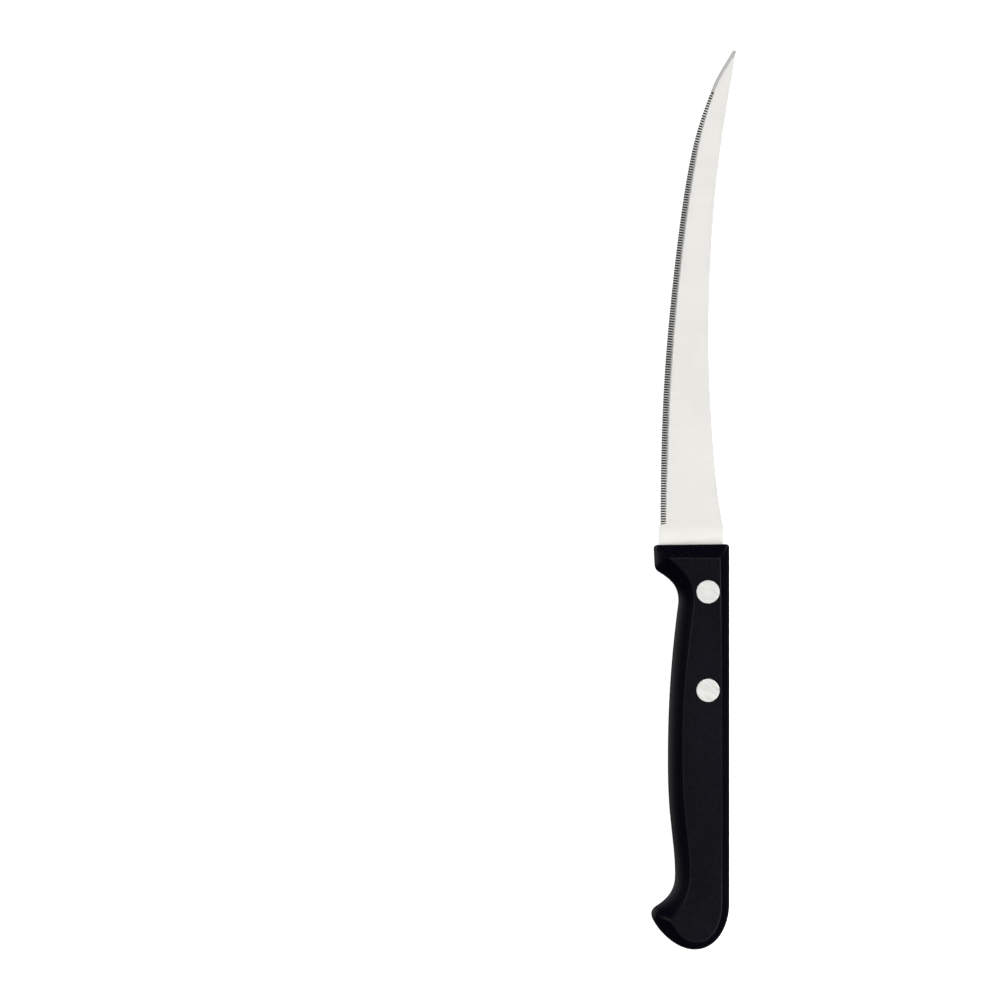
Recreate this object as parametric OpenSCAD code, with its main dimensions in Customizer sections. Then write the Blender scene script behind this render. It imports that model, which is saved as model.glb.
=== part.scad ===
// Tomato knife: a slim up-swept blade with a micro-serrated edge, riveted
// between two moulded handle scales.
// The knife lies on its side. +Y runs from the butt to the point, +X from the
// cutting edge to the spine, +Z out of the side that carries the serration.
// The origin is on the table, under the middle of the bounding box.

/* [Blade] */
// Blade length, handle front to point
blade_len = 127; // [110:1:140]
// Thickness of the blade strip and the tang
blade_t = 1.2; // [1.0:0.1:1.6]
// How much each face is ground down for every millimetre towards the edge
grind_x = 0.018; // [0.006:0.002:0.020]
// How much each face is ground down for every millimetre towards the point
grind_y = 0.0024; // [0.0004:0.0004:0.0026]
// Radius of the grinding wheel's run-out in front of the handle
runout_r = 36; // [20:1:60]

/* [Edge] */
// Spacing of the micro-serration
tooth_pitch = 0.652; // [0.6:0.004:0.8]
// Radius of the groove between two teeth
groove_r = 0.5; // [0.44:0.02:0.6]
// Length of the longest grooves, from the edge inwards
groove_len = 1.8; // [1.4:0.1:2.2]
// Width of the plain sharpened bevel near the point
tip_bevel_w = 0.95; // [0.7:0.05:1.2]

/* [Handle] */
// Handle length along the spine side, front face to butt
handle_len = 104.2; // [98:0.2:112]
// Thickness over both scales
handle_t = 13; // [11:0.5:15]
// Play left all round the tang and the blade in the scales
fit_gap = 0.02; // [0.01:0.01:0.05]

/* [Tang] */
// Depth to which the full blade width sits in the handle
heel_in = 2.4; // [1.6:0.2:3.0]
// Length of the tang behind the handle's front face
tang_len = 47; // [44:1:56]
// Width of the tang
tang_w = 8.6; // [7.6:0.2:8.8]
// Distance from the spine side of the handle to the tang
tang_inset = 2; // [1.6:0.1:2.4]

/* [Rivets] */
// Diameter of a rivet head
head_d = 6; // [5.4:0.1:6.4]
// Thickness of a rivet head
head_t = 1.6; // [1.2:0.1:2.0]
// Outside diameter of the tubular half
sleeve_d = 4; // [3.6:0.1:4.4]
// Diameter of the solid pin
pin_d = 2.6; // [2.2:0.1:2.8]
// Distance of the rivets from the spine side of the handle
rivet_in = 5.55; // [5.3:0.05:6.0]
// Front rivet, behind the handle's front face
rivet_front = 12.2; // [11:0.1:13]
// Rear rivet, behind the handle's front face
rivet_rear = 37.5; // [35:0.5:39]

/* [Pegs] */
// Diameter of the locating pegs that hold the rear of the scales in line
peg_d = 3; // [2.4:0.2:3.6]
// Height of the pegs
peg_h = 2.6; // [2:0.2:3.4]
// Front peg, behind the handle's front face
peg_front = 64; // [60:1:68]
// Rear peg, behind the handle's front face
peg_rear = 90; // [84:1:92]

/* [Hidden] */
$fn = 48;
half_t = handle_t / 2;

// --- curves ---------------------------------------------------------------
// A path is a list of stations [x, y, heading, handle in, handle out], joined
// by cubic curves that keep the heading through every station.
function mix(a, b, t) = a + (b - a) * t;
function bez(p, q, r, s, t) = p * pow(1 - t, 3) + q * 3 * t * pow(1 - t, 2)
    + r * 3 * t * t * (1 - t) + s * pow(t, 3);
function arm(a, d) = [a[0] + d * cos(a[2]), a[1] + d * sin(a[2])];
function leg(a, b, n) = [for (k = [0:n - 1])
    bez([a[0], a[1]], arm(a, a[4]), arm(b, -b[3]), [b[0], b[1]], k / n)];
function path(st, cnt) = [for (i = [0:len(cnt) - 1])
    each leg(st[i], st[(i + 1) % len(st)], cnt[i])];
function sized(p, k) = [for (q = p) [q[0], q[1] * k]];

// --- handle outline, from the front corner round the grip side, the butt and
// back up the spine side; x is 0 on the spine side, y is 0 at the front face
grip_st = [
    [-19.48, -1.05, -87, 0.52, 1.30], [-19.27, -5.20, -87, 1.50, 0.95],
    [-18.15, -7.10, -31, 0.70, 4.30], [-13.13, -14.50, -90, 3.30, 0.95],
    [-13.45, -17.30, -97, 0.95, 12.5], [-15.83, -55.50, -90, 15.0, 9.50],
    [-14.70, -74.80, -83.5, 5.50, 4.50], [-13.98, -84.80, -90, 2.80, 4.30],
    [-18.85, -92.90, -147, 3.30, 1.40], [-19.75, -96.30, -65, 1.75, 3.00],
    [-8.90, -104.20, 0, 5.10, 5.30], [0, -92.00, 90, 6.80, 29.0],
    [0, -0.80, 90, 29.0, 0.50], [-0.90, 0.10, 180.7, 0.50, 6.00],
    [-18.56, -0.12, 180.7, 6.00, 0.52]];
// the raised flat panel on each side, station for station
panel_st = [
    [-15.62, -3.56, -42, 0.05, 0.08], [-15.35, -3.80, -42, 0.08, 0.30],
    [-14.60, -4.47, -42, 0.30, 6.10], [-9.00, -15.00, -90, 3.80, 0.90],
    [-9.25, -17.80, -97, 0.90, 11.5], [-11.95, -53.00, -90, 15.0, 9.50],
    [-10.70, -74.80, -83.5, 6.00, 4.50], [-9.98, -84.80, -90, 2.80, 4.80],
    [-15.08, -96.35, -139, 4.00, 0.24], [-15.06, -97.30, -54, 0.28, 2.40],
    [-8.60, -102.40, 0, 3.80, 4.20], [-1.88, -92.00, 90, 5.70, 40.0],
    [-2.33, -3.85, 91, 20.0, 0.15], [-2.65, -3.50, 180.2, 0.15, 4.00],
    [-15.45, -3.48, 180.2, 4.00, 0.05]];
// points on each stretch, and how far each station is a flat chamfer (1) or
// a hollow-to-upright curve (0)
grip_n = [4, 4, 12, 4, 12, 9, 5, 10, 8, 16, 14, 12, 4, 8, 5];
flat_k = [0, 0, 0, 0, 0, 0, 0, 0, 0, 0.3, 0.3, 0.1, 0.2, 1, 1];
hk = handle_len / 104.2;
grip = sized(path(grip_st, grip_n), hk);
panel = sized(path(panel_st, grip_n), hk);
kind = [for (i = [0:len(grip_n) - 1]) for (k = [0:grip_n[i] - 1])
    mix(flat_k[i], flat_k[(i + 1) % len(flat_k)], k / grip_n[i])];

// --- blade outline in the same frame: up the spine to the point, down the edge
bk = blade_len / 127;
back_st = [[-1.51, 4.70, 104, 1, 9.4], [-5.32, 54.0, 89.7, 14.2, 14.8],
    [-1.94, 104.0, 81.8, 17.8, 12.0], [1.79, 126.67, 80.2, 5.0, 0.25],
    [0.85, 127.02, 238.5, 0.30, 3.0]];
edge_st = [[0.85, 127.02, 238.5, 0.2, 7.9], [-4.90, 116.1, 250.4, 2.9, 1.0],
    [-6.06, 113.0, 250.1, 1.0, 7.5], [-13.44, 77.0, 262.9, 23.0, 5.0],
    [-16.51, 46.0, 266, 11.6, 10.9], [-17.70, 5.3, 270, 15.8, 1]];
back = sized(path(back_st, [16, 16, 8, 4]), bk);
edge = sized(concat(path(edge_st, [8, 5, 22, 12, 14]), [[-17.70, 5.3]]), bk);
heel_x = -18.05;
blade_pts = concat([[-1.55, -heel_in], [-1.55, 3.9], [-1.51, 4.7]],
    [for (i = [1:len(back) - 1]) back[i]], edge,
    [[heel_x, 4.45], [heel_x, -heel_in]]);
// x of the cutting edge at a height y, read off the edge outline
function edge_at(y) = let (i = [for (k = [0:len(edge) - 2])
        if (edge[k][1] >= y && edge[k + 1][1] <= y) k][0],
    a = edge[i], b = edge[i + 1])
    mix(a[0], b[0], (a[1] - y) / (a[1] - b[1]));
// how far the edge leans from the knife's length at a height y, in degrees
function edge_lean(y) = let (a = max(y - 1.5, 5.4 * bk), b = min(y + 1.5, 118 * bk))
    atan((edge_at(b) - edge_at(a)) / (b - a));
// length of the groove at a height y: shorter towards the point and the heel
function groove_run(y) = groove_len * lookup(y / bk, [[5, 0.85], [12, 0.87],
    [22, 0.98], [34, 1], [48, 1], [62, 0.94], [86, 0.95], [98, 0.90],
    [106, 0.77], [114, 0.62]]);

// depth ground off each face at a point of the blade
grind_0 = 0.02;
grind_end = 4.9;
function ground(x, y) = -grind_x * x + grind_y * y - grind_0;
function strip_t(x, y) = blade_t - 2 * ground(x, y);

// --- placing: middle of the bounding box over the origin, table at z = 0
lo_x = min([for (p = grip) p[0]]);
hi_x = max([for (p = back) p[0]]);
lo_y = min([for (p = grip) p[1]]);
hi_y = max([for (p = back) p[1]]);
mid_x = (lo_x + hi_x) / 2;
mid_y = (lo_y + hi_y) / 2;
module placed() translate([-mid_x, -mid_y, half_t]) children();

// --- blade ----------------------------------------------------------------
module tang_flat(gap) {
    // neck and body of the tang, with a round end
    translate([-tang_inset - tang_w - gap, -tang_len + tang_w / 2])
        square([tang_w + 2 * gap, tang_len - tang_w / 2 - heel_in + 0.1]);
    translate([-tang_inset - tang_w / 2, -tang_len + tang_w / 2])
        circle(d = tang_w + 2 * gap);
}

module grind_cut() {
    // everything above the ground face, with the wheel's run-out behind it
    translate([0, grind_end, blade_t / 2 - ground(0, grind_end)])
        rotate([-atan(grind_y), -atan(grind_x), 0]) {
            translate([-60, 0, 0]) cube([90, 150, 5]);
            translate([-60, 0, runout_r]) rotate([0, 90, 0])
                cylinder(r = runout_r, h = 90, $fn = 360);
        }
}

module groove(y) {
    // one serration groove, square to the edge, running out inwards
    x = edge_at(y);
    t = strip_t(x, y);
    fall = atan((t + 0.03) / groove_run(y));
    translate([x, y, -t / 2 - 0.03]) rotate([0, 0, -edge_lean(y)])
        rotate([0, -fall, 0]) translate([-1, 0, groove_r]) {
            rotate([0, 90, 0]) cylinder(r = groove_r, h = 7, $fn = 32);
            translate([0, 0.02 - groove_r, 0])
                cube([7, 2 * groove_r - 0.04, 2]);
        }
}

module tip_bevel() {
    // flats that meet in a keen edge on the blade's middle plane
    for (i = [0:7]) {
        a = edge[i + 1];
        b = edge[i];
        t = strip_t(a[0], a[1]);
        translate([a[0], a[1], 0])
            rotate([0, 0, atan2(b[1] - a[1], b[0] - a[0])])
                translate([i == 7 ? -0.1 : -0.01, -0.03, 0])
                    rotate([-atan(t / 2 / tip_bevel_w), 0, 0])
                        translate([0, -4, 0])
                            cube([norm(b - a) + (i == 0 ? 0.4 : 0.02), 8, 3]);
    }
}

module blade() color([0.80, 0.80, 0.78]) placed() difference() {
    translate([0, 0, -blade_t / 2]) linear_extrude(blade_t) difference() {
        union() {
            polygon(blade_pts);
            tang_flat(0);
        }
        for (y = [rivet_front, rivet_rear])
            translate([-rivet_in, -y]) circle(d = sleeve_d + 0.1);
    }
    grind_cut();
    mirror([0, 0, 1]) grind_cut();
    for (y = [5.6 * bk:tooth_pitch:115.8 * bk]) groove(y);
    tip_bevel();
    mirror([0, 0, 1]) tip_bevel();
}

// --- handle scales ----------------------------------------------------------
// The side of a scale from the parting plane (t = 0) to the flat panel (t = 1),
// as how far inwards and how high: c = 0 is a hollow-to-upright curve, c = 1 an
// upright face with a flat chamfer over it.
function rise(t, c) = [
    mix(3 * (1 - t) * t * t * 0.55 + t * t * t,
        lookup(t, [[0, 0], [0.4, 0], [0.52, 0.045], [1, 1]]), c),
    mix(3 * pow(1 - t, 2) * t * 0.45 + 3 * (1 - t) * t * t * 0.78 + t * t * t,
        lookup(t, [[0, 0], [0.4, 0.485], [0.52, 0.56], [1, 1]]), c)];
steps = [0, 0.12, 0.26, 0.4, 0.52, 0.64, 0.76, 0.88, 1];
function ring(t) = [for (i = [0:len(grip) - 1]) let (r = rise(t, kind[i]))
    [mix(grip[i][0], panel[i][0], r[0]), mix(grip[i][1], panel[i][1], r[0]),
     half_t * r[1]]];

// triangles across a loop that only runs down one side and up the other
function loop_y(p, i) = p[(i + 2 * len(p)) % len(p)][1];
function across(p) = let (n = len(p), ys = [for (q = p) q[1]],
    top = search(max(ys), ys)[0], low = search(min(ys), ys)[0],
    na = (low - top + n) % n, nb = n - na)
    [for (i = 1, j = 0, on = false; i + j < n - 1;
        i = on ? i + 1 : i, j = on ? j : j + 1,
        on = i < na && (j == nb
            || loop_y(p, top + i + 1) >= loop_y(p, top - j - 1)))
        [(top + i) % n, (top - j + n) % n,
         on ? (top + i + 1) % n : (top - j - 1 + n) % n]];

module shell() {
    // solid half handle, from the parting plane up to the flat panel
    n = len(grip);
    m = len(steps);
    polyhedron(points = [for (t = steps) each ring(t)],
        faces = concat([for (f = across(grip)) [f[2], f[1], f[0]]],
            [for (f = across(panel)) [for (i = f) (m - 1) * n + i]],
            [for (j = [0:m - 2]) for (i = [0:n - 1]) let (k = (i + 1) % n)
                each [[j * n + i, (j + 1) * n + i, (j + 1) * n + k],
                      [j * n + i, (j + 1) * n + k, j * n + k]]]));
}

module blade_seat() {
    // recess for half the thickness of the heel and the tang
    translate([0, 0, -1]) linear_extrude(1 + blade_t / 2 + fit_gap) {
        translate([heel_x - fit_gap, -heel_in - fit_gap])
            square([-1.55 - heel_x + 2 * fit_gap, heel_in + 2]);
        tang_flat(fit_gap);
    }
}

module rivet_bores() for (y = [rivet_front, rivet_rear])
    translate([-rivet_in, -y, 0]) {
        translate([0, 0, -1]) cylinder(d = sleeve_d + 0.1, h = half_t + 2);
        translate([0, 0, half_t - head_t]) cylinder(d = head_d + 0.04, h = 3);
    }

module peg_spots() {
    translate([-8.3, -peg_front, 0]) children();
    translate([-7.6, -peg_rear, 0]) children();
}

module near_scale() color([0.05, 0.05, 0.06]) placed() {
    difference() {
        shell();
        blade_seat();
        rivet_bores();
    }
    peg_spots() translate([0, 0, -peg_h]) {
        cylinder(d = peg_d, h = peg_h + 1);
    }
}

module far_scale() color([0.05, 0.05, 0.06]) placed() mirror([0, 0, 1])
    difference() {
        shell();
        blade_seat();
        rivet_bores();
        peg_spots() translate([0, 0, -1])
            cylinder(d = peg_d + 2 * fit_gap, h = peg_h + 1.2);
    }

// --- rivets -----------------------------------------------------------------
module head() {
    // flat head with a fine chamfer round its outer face
    rotate_extrude() polygon([[0, 0], [head_d / 2, 0],
        [head_d / 2, head_t - 0.12], [head_d / 2 - 0.12, head_t], [0, head_t]]);
}

module rivet_pin(y) color([0.82, 0.82, 0.80]) placed()
    translate([-rivet_in, -y, 0]) {
        translate([0, 0, half_t - head_t]) head();
        translate([0, 0, -half_t + head_t + 1])
            cylinder(d = pin_d, h = handle_t - 2 * head_t - 0.9);
    }

module rivet_sleeve(y) color([0.82, 0.82, 0.80]) placed()
    translate([-rivet_in, -y, 0]) difference() {
        union() {
            translate([0, 0, -half_t + head_t]) mirror([0, 0, 1]) head();
            translate([0, 0, -half_t + head_t - 0.1])
                cylinder(d = sleeve_d, h = handle_t - 2 * head_t - 0.1);
        }
        translate([0, 0, -half_t + head_t + 0.6])
            cylinder(d = pin_d, h = handle_t);
    }

module front_rivet_pin() rivet_pin(rivet_front);
module front_rivet_sleeve() rivet_sleeve(rivet_front);
module rear_rivet_pin() rivet_pin(rivet_rear);
module rear_rivet_sleeve() rivet_sleeve(rivet_rear);

blade();
near_scale();
far_scale();
front_rivet_pin();
front_rivet_sleeve();
rear_rivet_pin();
rear_rivet_sleeve();
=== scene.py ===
import math

import bmesh
import bpy
import numpy as np
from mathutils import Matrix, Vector


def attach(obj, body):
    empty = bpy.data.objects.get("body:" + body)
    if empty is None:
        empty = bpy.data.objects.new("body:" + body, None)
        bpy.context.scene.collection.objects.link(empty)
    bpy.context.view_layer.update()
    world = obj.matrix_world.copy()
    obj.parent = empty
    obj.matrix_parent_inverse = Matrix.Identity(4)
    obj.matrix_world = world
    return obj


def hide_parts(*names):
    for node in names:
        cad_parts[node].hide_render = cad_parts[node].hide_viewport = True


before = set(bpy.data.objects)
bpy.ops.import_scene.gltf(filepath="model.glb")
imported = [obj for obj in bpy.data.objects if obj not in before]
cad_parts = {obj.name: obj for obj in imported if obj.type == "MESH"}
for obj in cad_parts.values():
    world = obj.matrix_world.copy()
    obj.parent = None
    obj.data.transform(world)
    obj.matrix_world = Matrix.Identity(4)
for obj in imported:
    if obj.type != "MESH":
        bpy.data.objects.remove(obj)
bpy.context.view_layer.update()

# ---------------------------------------------------------------------------
# Sizes, in millimetres. The local frame has x = 0 on the handle's spine side,
# y = 0 at the handle's front face and z = 0 on the blade's middle plane.
# ---------------------------------------------------------------------------
HANDLE_T = 13.0
HALF_T = HANDLE_T / 2
BLADE_T = 1.2
GRIND_X, GRIND_Y, GRIND_0, GRIND_END = 0.018, 0.0024, 0.02, 4.9
RUNOUT_R = 36.0
PITCH, GROOVE_R, GROOVE_LEN = 0.652, 0.50, 1.8
# the grooves' length along the blade, as y and a share of the longest
GROOVE_RUN = [(5, 0.85), (12, 0.87), (22, 0.98), (34, 1), (48, 1), (62, 0.94),
              (86, 0.95), (98, 0.90), (106, 0.77), (114, 0.62)]
TIP_BEVEL_W = 0.95
FIT_GAP = 0.02
HEEL_IN, HEEL_X, HEEL_TOP = 2.4, -18.05, 4.45
TANG_LEN, TANG_W, TANG_INSET = 47.0, 8.6, 2.0
HEAD_D, HEAD_T, SLEEVE_D, PIN_D = 6.0, 1.6, 4.0, 2.6
RIVET_IN, RIVETS = 5.55, {"front": 12.2, "rear": 37.5}
PEG_D, PEG_H, PEGS = 3.0, 2.6, ((-8.3, -64.0), (-7.6, -90.0))
SEAM_R, CREASE_R = 0.10, 0.22

# Stations: x, y, heading, handle in, handle out
GRIP_ST = [
    [-19.48, -1.05, -87, 0.52, 1.30], [-19.27, -5.20, -87, 1.50, 0.95],
    [-18.15, -7.10, -31, 0.70, 4.30], [-13.13, -14.50, -90, 3.30, 0.95],
    [-13.45, -17.30, -97, 0.95, 12.5], [-15.83, -55.50, -90, 15.0, 9.50],
    [-14.70, -74.80, -83.5, 5.50, 4.50], [-13.98, -84.80, -90, 2.80, 4.30],
    [-18.85, -92.90, -147, 3.30, 1.40], [-19.75, -96.30, -65, 1.75, 3.00],
    [-8.90, -104.20, 0, 5.10, 5.30], [0, -92.00, 90, 6.80, 29.0],
    [0, -0.80, 90, 29.0, 0.50], [-0.90, 0.10, 180.7, 0.50, 6.00],
    [-18.56, -0.12, 180.7, 6.00, 0.52]]
PANEL_ST = [
    [-15.62, -3.56, -42, 0.05, 0.08], [-15.35, -3.80, -42, 0.08, 0.30],
    [-14.60, -4.47, -42, 0.30, 6.10], [-9.00, -15.00, -90, 3.80, 0.90],
    [-9.25, -17.80, -97, 0.90, 11.5], [-11.95, -53.00, -90, 15.0, 9.50],
    [-10.70, -74.80, -83.5, 6.00, 4.50], [-9.98, -84.80, -90, 2.80, 4.80],
    [-15.08, -96.35, -139, 4.00, 0.24], [-15.06, -97.30, -54, 0.28, 2.40],
    [-8.60, -102.40, 0, 3.80, 4.20], [-1.88, -92.00, 90, 5.70, 40.0],
    [-2.33, -3.85, 91, 20.0, 0.15], [-2.65, -3.50, 180.2, 0.15, 4.00],
    [-15.45, -3.48, 180.2, 4.00, 0.05]]
GRIP_N = [4, 4, 12, 4, 12, 9, 5, 10, 8, 16, 14, 12, 4, 8, 5]
FLAT_K = [0, 0, 0, 0, 0, 0, 0, 0, 0, 0.3, 0.3, 0.1, 0.2, 1, 1]
BACK_ST = [
    [-1.51, 4.70, 104, 1, 9.4], [-5.32, 54.0, 89.7, 14.2, 14.8],
    [-1.94, 104.0, 81.8, 17.8, 12.0], [1.79, 126.67, 80.2, 5.0, 0.25],
    [0.85, 127.02, 238.5, 0.30, 3.0]]
BACK_N = [16, 16, 8, 4]
EDGE_ST = [
    [0.85, 127.02, 238.5, 0.2, 7.9], [-4.90, 116.1, 250.4, 2.9, 1.0],
    [-6.06, 113.0, 250.1, 1.0, 7.5], [-13.44, 77.0, 262.9, 23.0, 5.0],
    [-16.51, 46.0, 266, 11.6, 10.9], [-17.70, 5.3, 270, 15.8, 1]]
EDGE_N = [8, 5, 22, 12, 14]


# ---------------------------------------------------------------------------
# Curves
# ---------------------------------------------------------------------------
def mix(a, b, t):
    return a + (b - a) * t


def leg(a, b, n):
    p, s = np.array(a[:2], float), np.array(b[:2], float)
    ha, hb = math.radians(a[2]), math.radians(b[2])
    q = p + a[4] * np.array([math.cos(ha), math.sin(ha)])
    r = s - b[3] * np.array([math.cos(hb), math.sin(hb)])
    t = (np.arange(n) / n)[:, None]
    u = 1 - t
    return p * u ** 3 + 3 * q * u * u * t + 3 * r * u * t * t + s * t ** 3


def path(stations, counts, k=1):
    return np.concatenate([
        leg(stations[i], stations[(i + 1) % len(stations)], n * k)
        for i, n in enumerate(counts)])


# the middle of the bounding box, from the same points as the CAD
_grip = path(GRIP_ST, GRIP_N)
_back = path(BACK_ST, BACK_N)
MID_X = (_grip[:, 0].min() + _back[:, 0].max()) / 2
MID_Y = (_grip[:, 1].min() + _back[:, 1].max()) / 2


def placed(points):
    p = np.asarray(points, float).reshape(-1, 3)
    return (p + [-MID_X, -MID_Y, HALF_T]) * 0.001


# ---------------------------------------------------------------------------
# Mesh helpers
# ---------------------------------------------------------------------------
def make(name, points, faces):
    me = bpy.data.meshes.new(name)
    me.from_pydata([tuple(p) for p in placed(points)], [], faces)
    ob = bpy.data.objects.new(name, me)
    bpy.context.scene.collection.objects.link(ob)
    return ob


def prism(points, z0, z1):
    """Closed extrusion of a counter-clockwise outline."""
    n = len(points)
    pts = [(x, y, z0) for x, y in points] + [(x, y, z1) for x, y in points]
    faces = [list(range(n))[::-1], list(range(n, 2 * n))]
    faces += [[i, (i + 1) % n, n + (i + 1) % n, n + i] for i in range(n)]
    return make("prism", pts, faces)


def lathe(name, profile, cx, cy, segs=96):
    """Closed turned solid: the profile runs from the axis at the bottom to the
    axis at the top, as (radius, z)."""
    pts, rings = [], []
    for r, z in profile:
        if r < 1e-9:
            rings.append([len(pts)])
            pts.append((cx, cy, z))
        else:
            rings.append(list(range(len(pts), len(pts) + segs)))
            pts += [(cx + r * math.cos(2 * math.pi * k / segs),
                     cy + r * math.sin(2 * math.pi * k / segs), z)
                    for k in range(segs)]
    faces = []
    for a, b in zip(rings, rings[1:]):
        for k in range(segs):
            m = (k + 1) % segs
            if len(a) == 1:
                faces.append([a[0], b[m], b[k]])
            elif len(b) == 1:
                faces.append([a[k], a[m], b[0]])
            else:
                faces.append([a[k], a[m], b[m], b[k]])
    return make(name, pts, faces)


def merge(ob, dist=2e-8):
    bm = bmesh.new()
    bm.from_mesh(ob.data)
    bmesh.ops.remove_doubles(bm, verts=bm.verts, dist=dist)
    bmesh.ops.dissolve_degenerate(bm, edges=bm.edges, dist=dist)
    bm.to_mesh(ob.data)
    bm.free()


def boolean(ob, other, operation):
    m = ob.modifiers.new("fit", "BOOLEAN")
    m.operation = operation
    m.object = other
    m.solver = "MANIFOLD"
    bpy.context.view_layer.update()
    dg = bpy.context.evaluated_depsgraph_get()
    me = bpy.data.meshes.new_from_object(ob.evaluated_get(dg))
    ob.modifiers.remove(m)
    old = ob.data
    ob.data = me
    me.name = ob.name
    bpy.data.meshes.remove(old)
    tool = other.data
    bpy.data.objects.remove(other)
    bpy.data.meshes.remove(tool)


def finish_mesh(ob, angle, keen=None):
    """Smooth faces, with every edge steeper than the angle kept sharp, and the
    ones that keen picks out."""
    bm = bmesh.new()
    bm.from_mesh(ob.data)
    bmesh.ops.remove_doubles(bm, verts=bm.verts, dist=2e-8)
    limit = math.radians(angle)
    for e in bm.edges:
        e.smooth = len(e.link_faces) == 2 and e.calc_face_angle(0) < limit
        if keen and e.smooth and keen(e):
            e.smooth = False
    for f in bm.faces:
        f.smooth = True
    open_edges = sum(len(e.link_faces) != 2 for e in bm.edges)
    volume = bm.calc_volume(signed=True) * 1e9
    bm.to_mesh(ob.data)
    bm.free()
    print(f"{ob.name}: {len(ob.data.polygons)} faces, {volume:.1f} mm3, "
          f"{open_edges} open edges")


# ---------------------------------------------------------------------------
# Handle scales
# ---------------------------------------------------------------------------
K = 4
grip = path(GRIP_ST, GRIP_N, K)
panel = path(PANEL_ST, GRIP_N, K)
kind = np.concatenate([
    mix(FLAT_K[i], FLAT_K[(i + 1) % len(FLAT_K)], np.arange(n * K) / (n * K))
    for i, n in enumerate(GRIP_N)])


# upright face, eased corner and flat chamfer, as t, how far in and how high
CHAMFER = [(0, 0, 0), (0.40, 0, 0.485)] + [
    (mix(0.40, 0.52, u), 0.045 * u * u, mix(0.485, 0.56, u) + 0.030 * u * (1 - u))
    for u in (0.2, 0.4, 0.6, 0.8)] + [(0.52, 0.045, 0.56), (1, 1, 1)]


def rise(t, c):
    t = np.asarray(t, float)
    u = 1 - t
    f0 = 3 * u * t * t * 0.55 + t ** 3
    z0 = 3 * u * u * t * 0.45 + 3 * u * t * t * 0.78 + t ** 3
    keys, fs, zs = zip(*CHAMFER)
    return mix(f0, np.interp(t, keys, fs), c), mix(z0, np.interp(t, keys, zs), c)


def scale_rings():
    n = len(grip)
    ahead, behind = np.roll(grip, -1, 0), np.roll(grip, 1, 0)
    tang = ahead - behind
    tang /= np.linalg.norm(tang, axis=1)[:, None]
    inward = np.stack([-tang[:, 1], tang[:, 0]], 1)
    rings = []
    # eased edge at the parting plane
    for phi in (0, 30, 60):
        a = math.radians(phi)
        xy = grip + inward * SEAM_R * (1 - math.sin(a))
        rings.append(np.column_stack([xy, np.full(n, SEAM_R * (1 - math.cos(a)))]))
    across = np.linalg.norm(panel - grip, axis=1)
    slope = np.hypot(mix(1.35, 1.990, kind) * across, mix(0.66, 0.917, kind) * HALF_T)
    last = 1 - CREASE_R / slope
    first = SEAM_R / (mix(1.35, 1.2125, kind) * HALF_T)
    inner = [*np.linspace(0.07, 0.37, 6), 0.40, 0.424, 0.448, 0.472, 0.496, 0.52,
             *np.linspace(0.57, 0.91, 9)]
    for s in (0, *inner, 1):
        t = np.full(n, s) if 0 < s < 1 else (last if s else first)
        f, z = rise(t, kind)
        rings.append(np.column_stack([mix(grip, panel, f[:, None]), HALF_T * z]))
    # rounded crease between the side and the flat panel
    start = rings[-1]
    corner = np.column_stack([panel, np.full(n, HALF_T)])
    run = corner[:, :2] - start[:, :2]
    run /= np.linalg.norm(run, axis=1)[:, None]
    end = corner.copy()
    end[:, :2] += run * CREASE_R * 0.9
    for u in (0.17, 0.34, 0.5, 0.67, 0.84, 1.0):
        rings.append(start * (1 - u) ** 2 + 2 * corner * u * (1 - u) + end * u * u)
    flat = end.copy()
    flat[:, :2] += run * 0.05
    rings.append(flat)
    return rings


def scale_shell(name, side):
    rings = scale_rings()
    n, m = len(grip), len(rings)
    pts = np.concatenate(rings)
    faces = [list(range(n))[::-1], list(range((m - 1) * n, m * n))]
    for j in range(m - 1):
        for i in range(n):
            k = (i + 1) % n
            faces.append([j * n + i, j * n + k, (j + 1) * n + k, (j + 1) * n + i])
    if side < 0:
        pts = pts * [1, 1, -1]
        faces = [f[::-1] for f in faces]
    return make(name, pts, faces)


def turned(profile, side):
    """The profile mirrored to the far side keeps running from bottom to top."""
    if side > 0:
        return profile
    return [(r, -z) for r, z in profile][::-1]


def span(a, b, side):
    return (a, b) if side > 0 else (-b, -a)


def tang_outline(gap):
    x0, x1 = -TANG_INSET - TANG_W - gap, -TANG_INSET + gap
    y1, yc = -HEEL_IN + 0.1, -TANG_LEN + TANG_W / 2
    r = TANG_W / 2 + gap
    cx = -TANG_INSET - TANG_W / 2
    low = [(cx - r * math.cos(a), yc - r * math.sin(a))
           for a in np.linspace(0, math.pi, 49)]
    return low + [(x1, y1), (x0, y1)]


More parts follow.
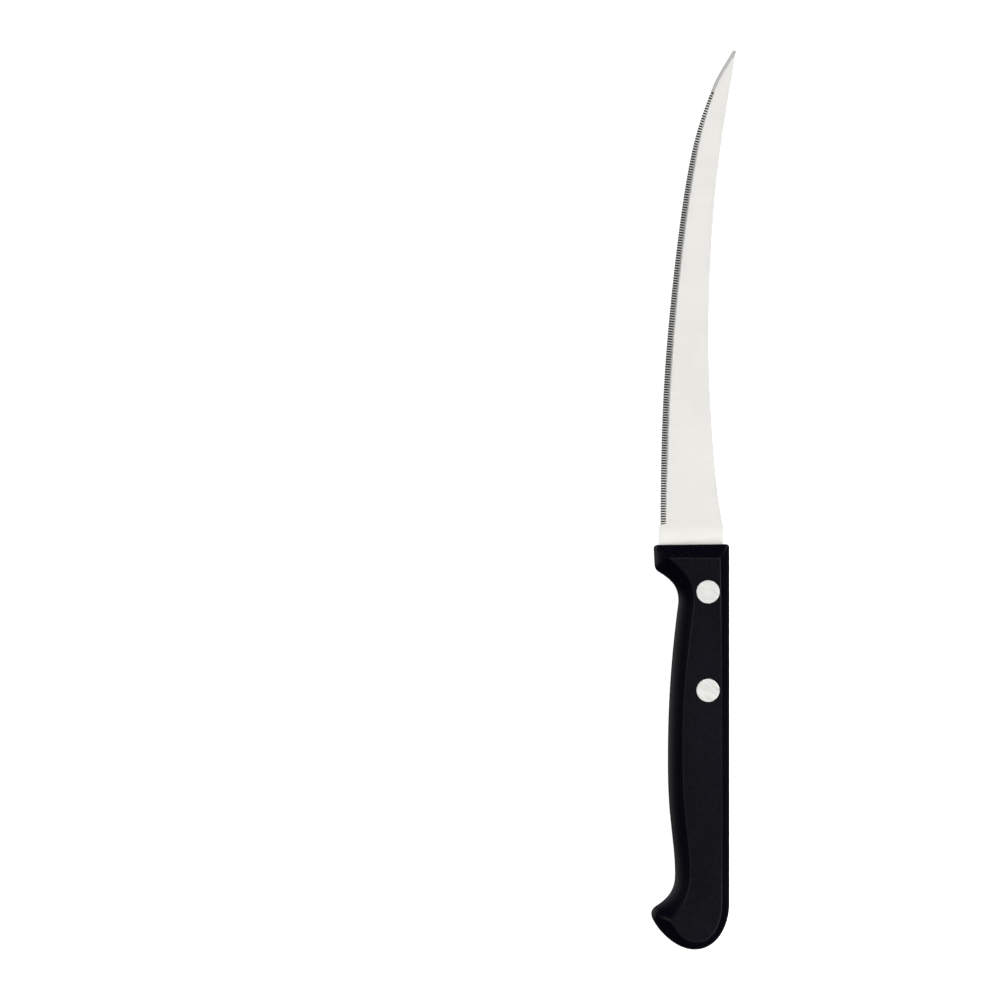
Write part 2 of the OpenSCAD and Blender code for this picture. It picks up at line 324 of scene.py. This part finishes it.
def scale(name, side):
    ob = scale_shell(name, side)
    z0, z1 = span(-1, BLADE_T / 2 + FIT_GAP, side)
    heel = [(HEEL_X - FIT_GAP, -HEEL_IN - FIT_GAP), (-1.55 + FIT_GAP, -HEEL_IN - FIT_GAP),
            (-1.55 + FIT_GAP, 2), (HEEL_X - FIT_GAP, 2)]
    boolean(ob, prism(heel, z0, z1), "DIFFERENCE")
    boolean(ob, prism(tang_outline(FIT_GAP), z0, z1), "DIFFERENCE")
    for y in RIVETS.values():
        r, big, seat = (SLEEVE_D + 0.1) / 2, HEAD_D / 2 + 0.02, HALF_T - HEAD_T
        prof = [(0, -1), (r, -1), (r, seat), (big, seat), (big, HALF_T - 0.07),
                (big + 0.07, HALF_T), (big + 0.07, HALF_T + 1), (0, HALF_T + 1)]
        boolean(ob, lathe("bore", turned(prof, side), -RIVET_IN, -y), "DIFFERENCE")
    for x, y in PEGS:
        if side > 0:
            prof = [(0, -PEG_H), (PEG_D / 2 - 0.25, -PEG_H),
                    (PEG_D / 2, -PEG_H + 0.25), (PEG_D / 2, 1), (0, 1)]
            boolean(ob, lathe("peg", prof, x, y, 64), "UNION")
        else:
            r, deep = PEG_D / 2 + FIT_GAP, PEG_H + 0.2
            prof = [(0, -deep), (r, -deep), (r, -0.2), (r + 0.2, 0), (r + 0.2, 1), (0, 1)]
            boolean(ob, lathe("socket", prof, x, y, 64), "DIFFERENCE")
    finish_mesh(ob, 30)
    return ob


# ---------------------------------------------------------------------------
# Blade
# ---------------------------------------------------------------------------
back = path(BACK_ST, BACK_N, 6)
edge = np.concatenate([path(EDGE_ST, EDGE_N, 6), [[-17.70, 5.3]]])
back = np.concatenate([back, [edge[0]]])
top_i = int(np.argmax(back[:, 1]))
TOP_Y = back[top_i, 1]
edge_up = edge[::-1]
# the CAD's edge polyline, which the grooves are placed along
_edge = np.concatenate([path(EDGE_ST, EDGE_N), [[-17.70, 5.3]]])[::-1]
TIP_DIR = math.radians(58.5)


def left_x(y):
    if y <= HEEL_TOP:
        return HEEL_X
    if y <= 5.3:
        return mix(HEEL_X, -17.70, (y - HEEL_TOP) / (5.3 - HEEL_TOP))
    if y <= edge[0, 1]:
        return float(np.interp(y, edge_up[:, 1], edge_up[:, 0]))
    fall = back[top_i:][::-1]
    return float(np.interp(y, fall[:, 1], fall[:, 0]))


def right_x(y):
    if y <= 3.9:
        return -1.55
    if y <= 4.7:
        return mix(-1.55, -1.51, (y - 3.9) / 0.8)
    return float(np.interp(y, back[:top_i + 1, 1], back[:top_i + 1, 0]))


def ground(x, y):
    return -GRIND_X * x + GRIND_Y * y - GRIND_0


def face_z(x, y):
    """Height of the ground face over the middle plane."""
    d = ground(x, max(y, GRIND_END))
    if y < GRIND_END:
        d -= RUNOUT_R - math.sqrt(RUNOUT_R ** 2 - (GRIND_END - y) ** 2)
    return BLADE_T / 2 - max(0.0, d)


def strip_t(x, y):
    return BLADE_T - 2 * ground(x, y)


def edge_lean(y):
    """How far the edge leans from the knife's length at a height y."""
    a, b = max(y - 1.5, 5.4), min(y + 1.5, 118)
    xa, xb = np.interp([a, b], _edge[:, 1], _edge[:, 0])
    return math.atan((xb - xa) / (b - a))


GROOVES = []
for _y in np.arange(5.6, 115.8 + 1e-6, PITCH):
    _x = float(np.interp(_y, _edge[:, 1], _edge[:, 0]))
    _t = strip_t(_x, _y)
    GROOVES.append((_x, float(_y), -_t / 2 - 0.03,
                    math.atan((_t + 0.03) / (GROOVE_LEN * np.interp(_y, *zip(*GROOVE_RUN)))),
                    edge_lean(_y)))


def groove_z(x, y, k):
    """Height of groove k's surface, a cylinder square to the edge that climbs
    inwards."""
    gx, gy, z0, fall, lean = GROOVES[k]
    along = (x - gx) * math.cos(lean) - (y - gy) * math.sin(lean)
    off = (x - gx) * math.sin(lean) + (y - gy) * math.cos(lean)
    off = min(abs(off), 0.999 * GROOVE_R)
    return (z0 + along * math.tan(fall)
            + (GROOVE_R - math.sqrt(GROOVE_R ** 2 - off ** 2)) / math.cos(fall))


def bevel_z(x, y):
    """Half thickness left by the plain bevel of the point."""
    ye = min(y, edge[0, 1])
    xe = left_x(ye)
    heading = math.atan2(0.1, left_x(ye) - left_x(ye - 0.1))
    te = strip_t(xe, ye)
    off = (x - xe - (y - ye) / math.tan(TIP_DIR)) * math.sin(heading)
    return te / 2 * max(0.0, off) / TIP_BEVEL_W


def column(y, ks=()):
    """One closed cross-section of the blade, counter-clockwise seen from the
    point: left edge, top face, spine, bottom face. From the edge it runs in
    square to it, and on the ground face back to its own height y."""
    xl, xr = left_x(y), right_x(y)
    width = xr - xl
    rr = min(0.1, 0.22 * width)
    rl = 0.08 if y < 5.1 else 0.0
    lean = edge_lean(min(y, 117.0)) if y > 5.1 else 0.0
    bevelled = y > 116.0

    def spot(s):
        return xl + s * math.cos(lean), y - s * math.sin(lean)

    def half(p):
        return min(face_z(*p), bevel_z(*p)) if bevelled else face_z(*p)

    def top(p):
        return min([half(p)] + [groove_z(*p, k) for k in ks])

    def low(p):
        return -half(p)

    s0, s1 = 0.0, 0.0 if ks or bevelled else min(1.0, 0.3 * width)
    for k in ks:
        rate = math.tan(GROOVES[k][3]) - GRIND_X
        a = 0.0
        for _ in range(4):
            p = spot(a)
            a = max(0.0, a + (-half(p) - groove_z(*p, k)) / rate)
        b = a
        for _ in range(5):
            p = spot(b)
            b += (face_z(*p) - groove_z(*p, k)) / rate
        s0, s1 = max(s0, a), max(s1, b)
    if bevelled:
        a, b = 0.0, 0.6 * width
        for _ in range(24):
            s = (a + b) / 2
            if bevel_z(*spot(s)) < face_z(*spot(s)):
                a = s
            else:
                b = s
        s1 = max(s1, b)
    p0, p1 = spot(s0), spot(s1)
    guard = spot(min(2.1, 0.75 * width))
    end = (xr - rr, y)
    loop = []

    def add(p, z):
        loop.append((p[0], p[1], z))

    def between(t):
        return mix(guard[0], end[0], t), mix(guard[1], end[1], t)

    # left edge, from the bottom up
    q = 0.3 * rl
    inset = (p0[0] + rl, p0[1])
    b, t = low(inset), top(inset)
    if ks and s0 > 0:
        t = b
    add(inset, b), add((p0[0] + q, p0[1]), b + q), add(p0, b + rl)
    add(p0, t - rl), add((p0[0] + q, p0[1]), t - q), add(inset, t)
    # top face: groove or bevel, a guard row, then the ground face
    for u in (0.34, 0.67, 1.0):
        p = spot(mix(s0, s1, u))
        add(p, top(p))
    face = [guard, between(0.25), between(0.5), between(0.75)]
    for p in face:
        add(p, top(p))
    # spine, from the top down
    t, b = top(end), low(end)
    h = min(rr, (t - b) / 2 * 0.98)
    arc = [math.radians(a) for a in (90, 60, 30, 0)]
    for a in arc:
        add((end[0] + rr * math.cos(a), y), t - h + h * math.sin(a))
    for a in arc[::-1]:
        add((end[0] + rr * math.cos(a), y), b + h - h * math.sin(a))
    # bottom face
    for p in (*face[::-1], p1):
        add(p, low(p))
    return loop


def blade_body():
    cols = []
    for y in (-HEEL_IN, -1.2, -0.3):
        cols.append(column(y))
    for y in np.arange(0.0, 4.4, 0.22):
        cols.append(column(float(y)))
    for y in (4.45, 4.6, 4.8, 5.0, 5.15):
        cols.append(column(y))
    count, steps = len(GROOVES), 12
    for k in range(count):
        yk = GROOVES[k][1]
        half = PITCH / 2
        a_max = math.asin(half / (GROOVE_R * math.cos(GROOVES[k][4])))
        for s in range(steps + 1):
            if s == steps and k < count - 1:
                continue
            ks = (k, k - 1) if s == 0 and k > 0 else (k,)
            y = yk + half * math.sin(mix(-a_max, a_max, s / steps)) / math.sin(a_max)
            cols.append(column(y, ks))
    y0 = GROOVES[-1][1] + PITCH / 2
    for y in (y0 + 0.006, y0 + 0.07):
        cols.append(column(y))
    for s in np.linspace(0, 1, 46)[1:]:
        y = mix(y0 + 0.07, TOP_Y - 0.004, 1 - (1 - s) ** 1.5)
        cols.append(column(y))
    n, m = len(cols[0]), len(cols)
    pts = [p for c in cols for p in c]
    faces = [list(range(n))[::-1], list(range((m - 1) * n, m * n))]
    for j in range(m - 1):
        for i in range(n):
            k = (i + 1) % n
            faces.append([j * n + i, j * n + k, (j + 1) * n + k, (j + 1) * n + i])
    ob = make("ground_blade", pts, faces)
    merge(ob)
    return ob


def blade():
    ob = blade_body()
    boolean(ob, prism(tang_outline(0), -BLADE_T / 2, BLADE_T / 2), "UNION")
    for y in RIVETS.values():
        r = (SLEEVE_D + 0.1) / 2
        boolean(ob, lathe("hole", [(0, -2), (r, -2), (r, 2), (0, 2)],
                          -RIVET_IN, -y, 64), "DIFFERENCE")
    finish_mesh(ob, 35, cut_border)
    mark_sharpened(ob)
    return ob


def in_frame(co):
    return co[0] * 1000 + MID_X, co[1] * 1000 + MID_Y, co[2] * 1000 - HALF_T


GROUND_N = Vector((-GRIND_X, GRIND_Y, 1)).normalized()
FLAT_N = Vector((0, 0, 1))


def cut_border(e):
    """Whether an edge parts the flat ground face, or the wheel's run-out and
    the flat strip behind it, from whatever borders them."""
    x, y, z = in_frame((e.verts[0].co + e.verts[1].co) / 2)
    face, near, far = (GROUND_N, 1.2, 2.5) if y > 5.1 else (FLAT_N, 9.5, 12.0)
    lean = [math.degrees(Vector((f.normal.x, f.normal.y, abs(f.normal.z))).angle(face, 0))
            for f in e.link_faces]
    return min(lean) < near and max(lean) > far


def mark_sharpened(ob):
    """sharpened is 1 where the grooves and the tip bevel are cut and 0 on the
    rest; crest runs from 0 along a groove's floor to 1 along its sides, and the
    tip bevel is in between. The steel material uses crest to paint shade into
    its colour on the groove sides and the tip bevel."""
    cut = ob.data.attributes.new("sharpened", "FLOAT", "POINT")
    crest = ob.data.attributes.new("crest", "FLOAT", "POINT")
    axes = np.array([(gx, gy, lean) for gx, gy, _, _, lean in GROOVES])
    for v, a, c in zip(ob.data.vertices, cut.data, crest.data):
        x, y, z = in_frame(v.co)
        a.value = c.value = 0.0
        if y > 5.1 and x < left_x(y) + 2.3:
            depth = face_z(x, y) - (z if y < 116.1 else abs(z))
            a.value = min(1.0, max(0.0, depth / 0.012))
            off = (x - axes[:, 0]) * np.sin(axes[:, 2]) + (y - axes[:, 1]) * np.cos(axes[:, 2])
            k = int(np.argmin(np.abs(off)))
            across = abs(off[k]) / (PITCH / 2 * math.cos(axes[k, 2]))
            # crest sets how much painted shade the steel gets: more towards a groove's sides,
            # and a fixed light amount on the tip bevel
            c.value = min(1.0, across * (1.12 - 0.0021 * y)) if y < 116.1 else 0.44


# ---------------------------------------------------------------------------
# Rivets
# ---------------------------------------------------------------------------
def head_edge(r, z, sign):
    """Rounded outer edge of a rivet head, ending on its flat face."""
    e = 0.11
    return [(r - e * (1 - math.cos(a)), z + sign * (e * math.sin(a) - e))
            for a in [math.radians(d) for d in (0, 22.5, 45, 67.5, 90)]]


def rivet_pin(name, y):
    prof = [(0, -HALF_T + HEAD_T + 1), (PIN_D / 2 - 0.15, -HALF_T + HEAD_T + 1),
            (PIN_D / 2 - 0.005, -HALF_T + HEAD_T + 1.15),
            (PIN_D / 2 - 0.005, HALF_T - HEAD_T), (HEAD_D / 2, HALF_T - HEAD_T)]
    prof += head_edge(HEAD_D / 2, HALF_T, 1)
    prof += [(HEAD_D / 2 - 0.16, HALF_T), (0, HALF_T)]
    ob = lathe(name, prof, -RIVET_IN, -y)
    finish_mesh(ob, 40)
    return ob


def rivet_sleeve(name, y):
    prof = [(0, -HALF_T), (HEAD_D / 2 - 0.16, -HALF_T)]
    prof += head_edge(HEAD_D / 2, -HALF_T, -1)[::-1]
    prof += [(HEAD_D / 2, -HALF_T + HEAD_T), (SLEEVE_D / 2, -HALF_T + HEAD_T),
             (SLEEVE_D / 2, HALF_T - HEAD_T - 0.3), (SLEEVE_D / 2 - 0.1, HALF_T - HEAD_T - 0.2),
             (PIN_D / 2 + 0.1, HALF_T - HEAD_T - 0.2), (PIN_D / 2, HALF_T - HEAD_T - 0.3),
             (PIN_D / 2, -HALF_T + HEAD_T + 0.6), (0, -HALF_T + HEAD_T + 0.6)]
    ob = lathe(name, prof, -RIVET_IN, -y)
    finish_mesh(ob, 40)
    return ob


# ---------------------------------------------------------------------------
# Materials
# ---------------------------------------------------------------------------
class Tree:
    def __init__(self, name):
        self.mat = bpy.data.materials.new(name)
        self.mat.use_nodes = True
        self.nt = self.mat.node_tree
        self.bsdf = self.nt.nodes["Principled BSDF"]
        self.coord = self.nt.nodes.new("ShaderNodeTexCoord").outputs["Object"]

    def node(self, kind, **values):
        nd = self.nt.nodes.new(kind)
        for k, v in values.items():
            if hasattr(nd, k):
                setattr(nd, k, v)
            else:
                nd.inputs[k.replace("_", " ")].default_value = v
        return nd

    def link(self, a, b):
        self.nt.links.new(a, b)

    def mapped(self, scale, turn=0.0):
        """The coordinates turned about z first and then scaled."""
        r, m = self.node("ShaderNodeMapping"), self.node("ShaderNodeMapping")
        r.inputs["Rotation"].default_value = (0, 0, math.radians(turn))
        m.inputs["Scale"].default_value = scale
        self.link(self.coord, r.inputs["Vector"])
        self.link(r.outputs["Vector"], m.inputs["Vector"])
        return m.outputs["Vector"]

    def noise(self, vector, scale, detail=2.0, rough=0.5):
        nd = self.node("ShaderNodeTexNoise", Scale=scale, Detail=detail, Roughness=rough)
        self.link(vector, nd.inputs["Vector"])
        return nd.outputs["Fac"]

    def remap(self, value, lo, hi, to_lo, to_hi):
        nd = self.node("ShaderNodeMapRange")
        for key, v in (("From Min", lo), ("From Max", hi), ("To Min", to_lo), ("To Max", to_hi)):
            nd.inputs[key].default_value = v
        self.link(value, nd.inputs["Value"])
        return nd.outputs["Result"]

    def math(self, op, a, b):
        nd = self.node("ShaderNodeMath", operation=op)
        for i, v in enumerate((a, b)):
            if isinstance(v, (int, float)):
                nd.inputs[i].default_value = v
            else:
                self.link(v, nd.inputs[i])
        return nd.outputs["Value"]

    def ramp(self, value, stops):
        nd = self.node("ShaderNodeValToRGB")
        el = nd.color_ramp.elements
        while len(el) < len(stops):
            el.new(0.5)
        for e, (pos, col) in zip(el, stops):
            e.position = pos
            e.color = (*col, 1)
        self.link(value, nd.inputs["Fac"])
        return nd.outputs["Color"]

    def bump(self, height, distance, strength=1.0, normal=None):
        nd = self.node("ShaderNodeBump")
        nd.inputs["Strength"].default_value = strength
        nd.inputs["Distance"].default_value = distance
        self.link(height, nd.inputs["Height"])
        if normal is not None:
            self.link(normal, nd.inputs["Normal"])
        return nd.outputs["Normal"]

    def set(self, **values):
        for k, v in values.items():
            self.bsdf.inputs[k.replace("_", " ")].default_value = v


def steel_material():
    """Stainless strip, ground across its width to a fine satin, with painted shade darkening its
    colour on the groove sides and the tip bevel.
    """
    m = Tree("satin_ground_steel")
    m.set(Metallic=1.0)
    lines = m.noise(m.mapped((26, 9000, 26)), 1.0, 3.0, 0.6)
    broad = m.noise(m.mapped((18, 900, 18)), 1.0, 2.0, 0.5)
    cloud = m.noise(m.coord, 90.0, 3.0, 0.55)
    tone = m.math("ADD", m.math("MULTIPLY", lines, 0.85), m.math("MULTIPLY", broad, 0.15))
    colour = m.ramp(tone, [(0.30, (0.750, 0.742, 0.712)), (0.70, (0.806, 0.797, 0.764))])
    cut = m.node("ShaderNodeAttribute", attribute_name="sharpened").outputs["Fac"]
    crest = m.node("ShaderNodeAttribute", attribute_name="crest").outputs["Fac"]
    # painted shade: the base colour is darkened by up to 94% on the groove sides and less on the
    # tip bevel, standing in for the shade and dark reflections there
    painted_flank_shade = m.remap(crest, 0.32, 0.74, 0.0, 0.94)
    shade = m.math("SUBTRACT", 1.0, m.math("MULTIPLY", cut, painted_flank_shade))
    painted_shade_colour = m.node("ShaderNodeVectorMath", operation="SCALE")
    m.link(colour, painted_shade_colour.inputs[0])
    m.link(shade, painted_shade_colour.inputs["Scale"])
    m.link(painted_shade_colour.outputs["Vector"], m.bsdf.inputs["Base Color"])
    rough = m.math("ADD", m.remap(tone, 0.3, 0.7, 0.43, 0.47),
                   m.remap(cloud, 0.3, 0.7, -0.01, 0.01))
    rough = m.math("SUBTRACT", rough, m.math("MULTIPLY", cut, 0.10))
    m.link(rough, m.bsdf.inputs["Roughness"])
    m.link(m.bump(lines, 0.000004, 1.0), m.bsdf.inputs["Normal"])
    return m.mat


def plastic_material():
    """Black moulded handle plastic with a fine satin grain."""
    m = Tree("black_satin_plastic")
    grain = m.noise(m.coord, 5200.0, 2.0, 0.5)
    pores = m.noise(m.coord, 1500.0, 3.0, 0.6)
    flow = m.noise(m.mapped((1, 0.35, 1)), 60.0, 2.0, 0.5)
    colour = m.ramp(flow, [(0.35, (0.0009, 0.0008, 0.0032)), (0.65, (0.0013, 0.0011, 0.0042))])
    m.link(colour, m.bsdf.inputs["Base Color"])
    rough = m.math("ADD", m.remap(pores, 0.3, 0.7, 0.25, 0.30),
                   m.remap(flow, 0.3, 0.7, -0.01, 0.02))
    m.link(rough, m.bsdf.inputs["Roughness"])
    m.set(Specular_IOR_Level=0.175)
    fine = m.bump(grain, 0.000006, 1.0)
    m.link(m.bump(pores, 0.000010, 1.0, fine), m.bsdf.inputs["Normal"])
    return m.mat


def rivet_material():
    """Aluminium rivet heads, brushed straight across at a slant."""
    m = Tree("brushed_rivet_metal")
    m.set(Metallic=1.0)
    lines = m.noise(m.mapped((60, 6500, 60), 38), 1.0, 3.0, 0.6)
    broad = m.noise(m.mapped((300, 2600, 300), 38), 1.0, 2.0, 0.5)
    tone = m.math("ADD", m.math("MULTIPLY", lines, 0.4), m.math("MULTIPLY", broad, 0.6))
    colour = m.ramp(tone, [(0.30, (0.555, 0.550, 0.529)), (0.70, (0.818, 0.813, 0.783))])
    m.link(colour, m.bsdf.inputs["Base Color"])
    m.link(m.remap(tone, 0.3, 0.7, 0.40, 0.50), m.bsdf.inputs["Roughness"])
    m.link(m.bump(lines, 0.000006, 1.0), m.bsdf.inputs["Normal"])
    return m.mat


# ---------------------------------------------------------------------------
# The knife
# ---------------------------------------------------------------------------
steel, plastic, metal = steel_material(), plastic_material(), rivet_material()
made = [
    (blade(), steel, "blade", "blade_steel"),
    (scale("near_scale_moulding", 1), plastic, "near_scale", "handle_plastic"),
    (scale("far_scale_moulding", -1), plastic, "far_scale", "handle_plastic"),
    (rivet_pin("front_pin", RIVETS["front"]), metal, "front_rivet_pin", "rivet_metal"),
    (rivet_sleeve("front_sleeve", RIVETS["front"]), metal, "front_rivet_sleeve", "rivet_metal"),
    (rivet_pin("rear_pin", RIVETS["rear"]), metal, "rear_rivet_pin", "rivet_metal"),
    (rivet_sleeve("rear_sleeve", RIVETS["rear"]), metal, "rear_rivet_sleeve", "rivet_metal"),
]
for ob, mat, node, slot in made:
    ob.data.materials.clear()
    ob.data.materials.append(mat)
    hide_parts(node)
    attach(ob, "root")

# ---------------------------------------------------------------------------
# Floor, light and camera
# ---------------------------------------------------------------------------
me = bpy.data.meshes.new("floor")
me.from_pydata([(-15, -15, -0.0001), (15, -15, -0.0001), (15, 15, -0.0001),
                (-15, 15, -0.0001)], [], [[0, 1, 2, 3]])
floor = bpy.data.objects.new("floor", me)
bpy.context.scene.collection.objects.link(floor)
white = bpy.data.materials.new("pale_floor")
white.use_nodes = True
for key, value in (("Base Color", (0.9, 0.9, 0.9, 1)), ("Roughness", 1.0),
                   ("Specular IOR Level", 0.0), ("Emission Color", (1, 1, 1, 1)),
                   ("Emission Strength", 0.86)):
    white.node_tree.nodes["Principled BSDF"].inputs[key].default_value = value
me.materials.append(white)
floor.visible_glossy = False


def toward(tilt, around):
    """Unit vector that leans from straight up by tilt, to the heading around."""
    a, b = math.radians(tilt), math.radians(around)
    return (math.sin(a) * math.cos(b), math.sin(a) * math.sin(b), math.cos(a))


class Studio:
    """A white dome of diffused light, with the darker gap that the camera looks
    through, over dim surroundings."""

    def __init__(self):
        world = bpy.data.worlds.new("studio")
        bpy.context.scene.world = world
        world.use_nodes = True
        self.nt = world.node_tree
        self.out = self.nt.nodes["Background"]
        self.way = self.nt.nodes.new("ShaderNodeTexCoord").outputs["Generated"]

    def lean(self, axis):
        nd = self.nt.nodes.new("ShaderNodeVectorMath")
        nd.operation = "DOT_PRODUCT"
        self.nt.links.new(self.way, nd.inputs[0])
        nd.inputs[1].default_value = axis
        return nd.outputs["Value"]

    def spot(self, axis, full, none, inside=1.0, outside=0.0):
        """inside within full degrees of the axis, outside beyond none degrees."""
        nd = self.nt.nodes.new("ShaderNodeMapRange")
        nd.interpolation_type = "SMOOTHSTEP"
        for key, v in (("From Min", math.cos(math.radians(none))),
                       ("From Max", math.cos(math.radians(full))),
                       ("To Min", outside), ("To Max", inside)):
            nd.inputs[key].default_value = v
        self.nt.links.new(self.lean(axis), nd.inputs["Value"])
        return nd.outputs["Result"]

    def math(self, op, a, b):
        nd = self.nt.nodes.new("ShaderNodeMath")
        nd.operation = op
        for i, v in enumerate((a, b)):
            if isinstance(v, (int, float)):
                nd.inputs[i].default_value = v
            else:
                self.nt.links.new(v, nd.inputs[i])
        return nd.outputs["Value"]


RIGHT, LEFT, GAP, REST, GLOW, TABLE = 5.15, 1.85, 0.02, 0.02, 0.42, 1.2
st = Studio()
dome = st.spot((0, 0, 1), 38, 52)
side = st.spot(toward(90, 12), math.degrees(math.acos(0.30)),
               math.degrees(math.acos(-0.05)), RIGHT, 0.03)
gap = st.spot(toward(4.5, 120), 12, 22, GAP, 1.0)
left = st.spot(toward(48, 168), 14, 25, LEFT, 0.0)
glow = st.spot(toward(122, 155), 8, 41, GLOW, 0.0)
light = st.math("MULTIPLY", st.math("MULTIPLY", dome, side), gap)
table = st.spot(toward(112, 45), 12, 36, TABLE, 0.0)
for part in (left, glow, table):
    light = st.math("ADD", light, part)
light = st.math("ADD", light, REST)
st.nt.links.new(light, st.out.inputs["Strength"])
st.out.inputs["Color"].default_value = (1, 1, 1, 1)

cam_data = bpy.data.cameras.new("camera")
cam_data.lens = 1000
cam_data.sensor_width = 36
cam = bpy.data.objects.new("camera", cam_data)
bpy.context.scene.collection.objects.link(cam)
VIEW_W = 0.25713
cam.location = (-0.04983, -0.00004, 0.0065 + VIEW_W * cam_data.lens / cam_data.sensor_width)
cam.rotation_euler = (0, 0, 0)
cam_data.clip_start, cam_data.clip_end = 0.1, 60
bpy.context.scene.camera = cam

bpy.context.scene.view_settings.view_transform = "Standard"
bpy.context.scene.view_settings.look = "None"
